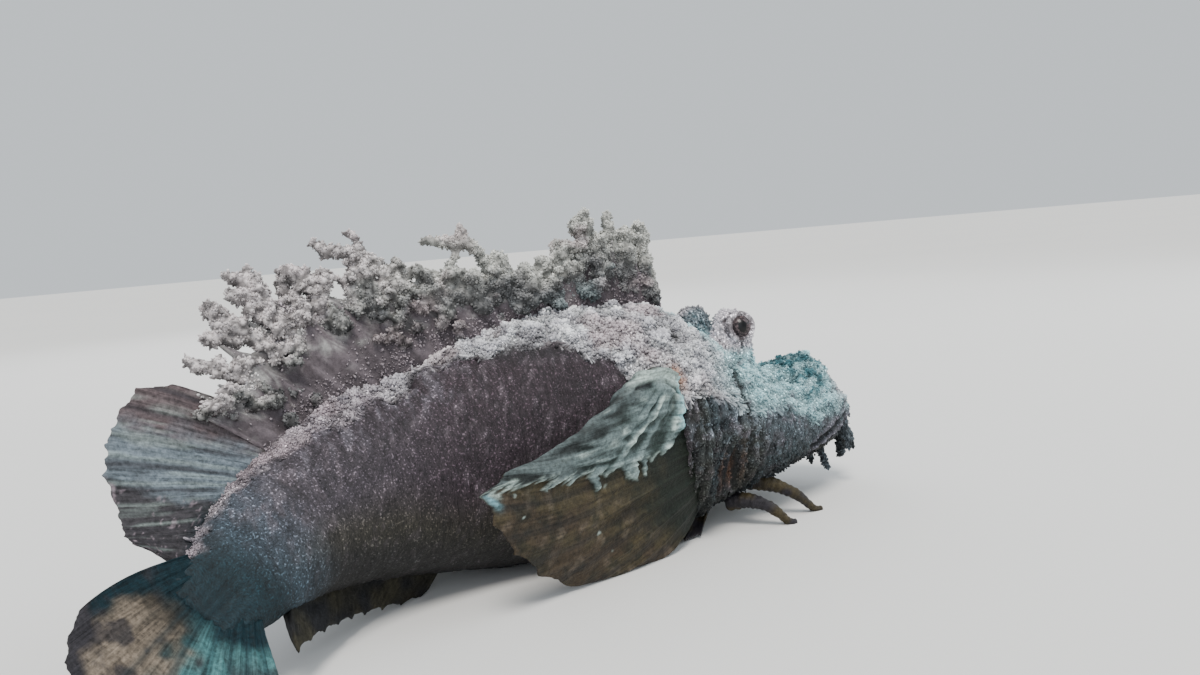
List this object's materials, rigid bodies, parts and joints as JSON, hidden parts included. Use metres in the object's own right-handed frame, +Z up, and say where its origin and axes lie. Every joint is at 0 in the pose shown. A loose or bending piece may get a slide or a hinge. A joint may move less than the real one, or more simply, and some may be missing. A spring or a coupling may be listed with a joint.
{
  "type": "spiny devilfish stonefish",
  "caption": "Still, life-size model of a camouflaged stonefish resting on its belly, fins spread and tail curled.",
  "frame": {"origin": "middle of the bounding box's bottom, on the floor that the fish rests on", "axes": "+X towards the snout along the longest extent, -Y the fish's right side, which the picture shows, +Z up"},
  "size_m": [0.204, 0.1008, 0.0829],
  "materials": {
    "head_skin": "rough warty skin with a pale grey crust of growth and sediment",
    "body_skin": "dull purple-grey skin, finely streaked, pale crust along the back",
    "crusted_fin": "matt pale growth over grey membrane",
    "grey_fin": "satin grey membrane with darker rays",
    "olive_fin": "satin olive-brown membrane dusted with pale sediment",
    "eye": "glossy dark eye with a narrow brown iris"
  },
  "bodies": {
    "root": {"head": "head_skin", "jaw": "head_skin", "eye_left": "eye", "eye_right": "eye", "trunk_front": "body_skin", "trunk_rear": "body_skin", "tail_stem": "body_skin", "dorsal_fin_front": "crusted_fin", "dorsal_fin_spiny": "crusted_fin", "dorsal_fin_soft": "grey_fin", "caudal_fin": "grey_fin", "anal_fin": "grey_fin", "pectoral_fin_left": "olive_fin", "pectoral_fin_right": "olive_fin", "pelvic_fin_left": "olive_fin", "pelvic_fin_right": "olive_fin", "free_ray_1_left": "olive_fin", "free_ray_2_left": "olive_fin", "free_ray_1_right": "olive_fin", "free_ray_2_right": "olive_fin"}
  },
  "joints": []
}
